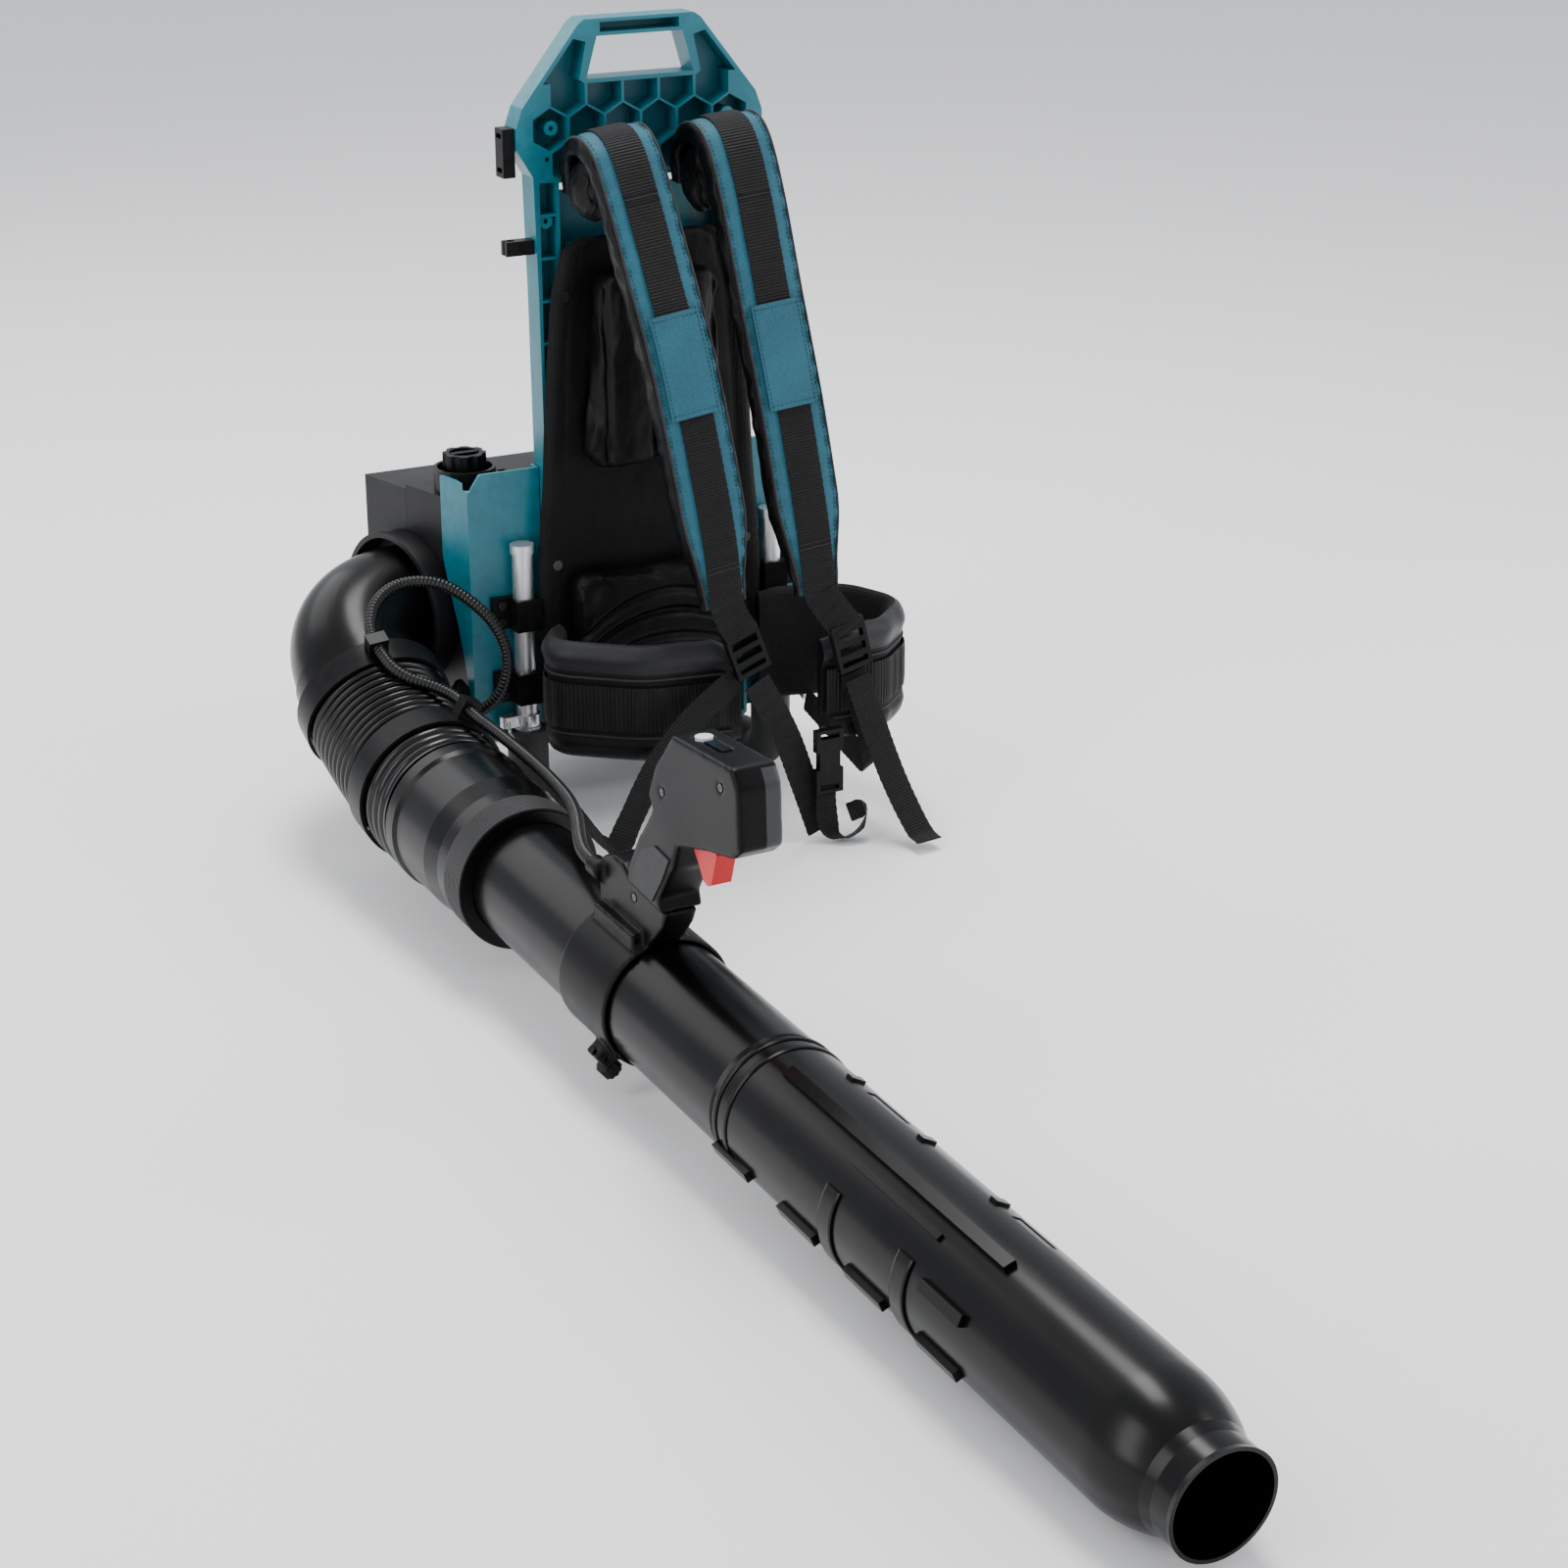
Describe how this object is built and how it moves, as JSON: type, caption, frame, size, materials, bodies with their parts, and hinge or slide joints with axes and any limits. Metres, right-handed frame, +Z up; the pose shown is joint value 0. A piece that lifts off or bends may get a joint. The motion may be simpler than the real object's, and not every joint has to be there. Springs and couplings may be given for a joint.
{
  "type": "backpack leaf blower",
  "caption": "Backpack leaf blower: harnessed carrier, fan unit, swivelling elbow, bellows and a long telescoping pipe with a trigger handle.",
  "frame": {"origin": "floor level, on the carrier's symmetry plane, below the front rim of the carrier", "axes": "+Z up, the harness faces -Y, the air pipe runs down the -X side towards -Y"},
  "size_m": [0.5251, 1.4257, 0.69],
  "materials": {
    "teal_plastic": "moulded, fine texture",
    "teal_plastic_side": "moulded, fine texture",
    "dark_plastic": "moulded, fine texture",
    "black_plastic": "moulded, satin",
    "pipe_plastic": "blow moulded, satin gloss",
    "bellows_rubber": "satin, ribbed",
    "foot_rubber": "matte",
    "soft_grip": "matte, soft",
    "silver_tube": "satin",
    "steel": "zinc plated",
    "dark_steel": "black oxide",
    "red_plastic": "moulded",
    "display_lens": "clear over dark",
    "circuit_board": "lacquered",
    "motor_metal": "cast",
    "pad_fabric": "coated polyester",
    "pad_shell": "matte laminate",
    "strap_fabric": "woven nylon",
    "belt_fabric": "woven polyester",
    "webbing": "ribbed webbing",
    "conduit": "corrugated"
  },
  "bodies": {
    "carrier": {"back_frame": "teal_plastic", "side_cover_left": "teal_plastic", "side_cover_right": "teal_plastic", "fan_housing_front": "dark_plastic", "fan_housing_rear": "dark_plastic", "intake_grille": "dark_plastic", "outlet_hood": "dark_plastic", "motor": "motor_metal", "motor_controller": "dark_plastic", "upright_tube": "silver_tube", "floor_rail": "silver_tube", "front_foot": "foot_rubber", "rear_foot": "foot_rubber", "rail_bracket": "black_plastic", "tube_clamp": "black_plastic", "clamp_screw": "dark_steel", "ring_bracket": "steel", "pack_latch": "black_plastic", "back_pad": "pad_shell", "pad_rivet": "steel", "upper_cushion": "pad_fabric", "lumbar_cushion": "pad_fabric", "belt_wing_left": "belt_fabric", "belt_wing_right": "belt_fabric", "belt_webbing": "webbing", "shoulder_strap_left": "strap_fabric", "shoulder_strap_right": "strap_fabric", "ladder_lock": "black_plastic", "load_webbing_left": "webbing", "load_webbing_right": "webbing", "snap_hook": "steel", "belt_buckle": "black_plastic", "top_buckle": "black_plastic", "cable_clip": "black_plastic", "conduit_a": "conduit", "conduit_gland": "black_plastic"},
    "fan": {"fan_impeller": "black_plastic"},
    "lock_knob": {"pack_lock_knob": "black_plastic"},
    "elbow": {"elbow": "pipe_plastic", "bellows_clamp": "black_plastic", "bellows_main": "bellows_rubber", "conduit_b": "conduit"},
    "cuff": {"mid_clamp": "black_plastic", "bellows_short": "bellows_rubber", "pipe_cuff": "pipe_plastic", "cuff_band": "webbing", "conduit_c": "conduit"},
    "pipe": {"swivel_pipe": "pipe_plastic", "handle_sleeve": "black_plastic", "handle_shell_left": "black_plastic", "handle_shell_right": "black_plastic", "handle_screw": "dark_steel", "trigger_pin": "steel", "grip_pad": "soft_grip", "charge_display": "display_lens", "handle_electronics": "circuit_board"},
    "trigger": {"trigger": "red_plastic"},
    "power_button": {"power_button": "black_plastic"},
    "sleeve_knob": {"clamp_knob": "black_plastic"},
    "nozzle": {"nozzle": "pipe_plastic"}
  },
  "joints": [
    {"name": "fan_spin", "type": "hinge", "parent": "carrier", "child": "fan", "pos_m": [0.02, 0.1, 0.172], "axis": [0, 1, 0], "continuous": true},
    {"name": "lock_knob_turn", "type": "hinge", "parent": "carrier", "child": "lock_knob", "pos_m": [-0.142, 0.069, 0.3], "axis": [0, 0, 1], "range_deg": [0, 90]},
    {"name": "elbow_swivel", "type": "hinge", "parent": "carrier", "child": "elbow", "pos_m": [-0.20475, 0.09836, 0.17946], "axis": [-0.9703, -0.2419, 0], "range_deg": [-20, 60], "deforming": ["conduit_a"]},
    {"name": "bellows_bend", "type": "hinge", "parent": "elbow", "child": "cuff", "pos_m": [-0.25899, -0.03979, 0.11464], "axis": [0.0108, -0.3386, 0.9409], "range_deg": [-20, 20], "deforming": ["bellows_main", "conduit_b"]},
    {"name": "pipe_swivel", "type": "hinge", "parent": "cuff", "child": "pipe", "pos_m": [-0.2507, -0.3, 0.0845], "axis": [0.0318, -0.9986, -0.0427], "range_deg": [-40, 40], "deforming": ["conduit_c"]},
    {"name": "trigger_pull", "type": "hinge", "parent": "pipe", "child": "trigger", "pos_m": [-0.24489, -0.60813, 0.24548], "axis": [0.9995, 0.0318, 0], "range_deg": [0, 10], "stiffness_Nm_per_rad": 0.2, "springref_deg": -8.59},
    {"name": "power_press", "type": "slide", "parent": "pipe", "child": "power_button", "axis": [0.0016, -0.0517, -0.9987], "range_m": [0, 0.001], "stiffness_N_per_m": 600, "springref_m": -0.001},
    {"name": "sleeve_knob_turn", "type": "hinge", "parent": "pipe", "child": "sleeve_knob", "pos_m": [-0.29109, -0.52355, 0.03651], "axis": [0.6279, 0.0532, -0.7764], "continuous": true},
    {"name": "nozzle_slide", "type": "slide", "parent": "pipe", "child": "nozzle", "axis": [0.0318, -0.9986, -0.0427], "range_m": [0, 0.168]}
  ]
}
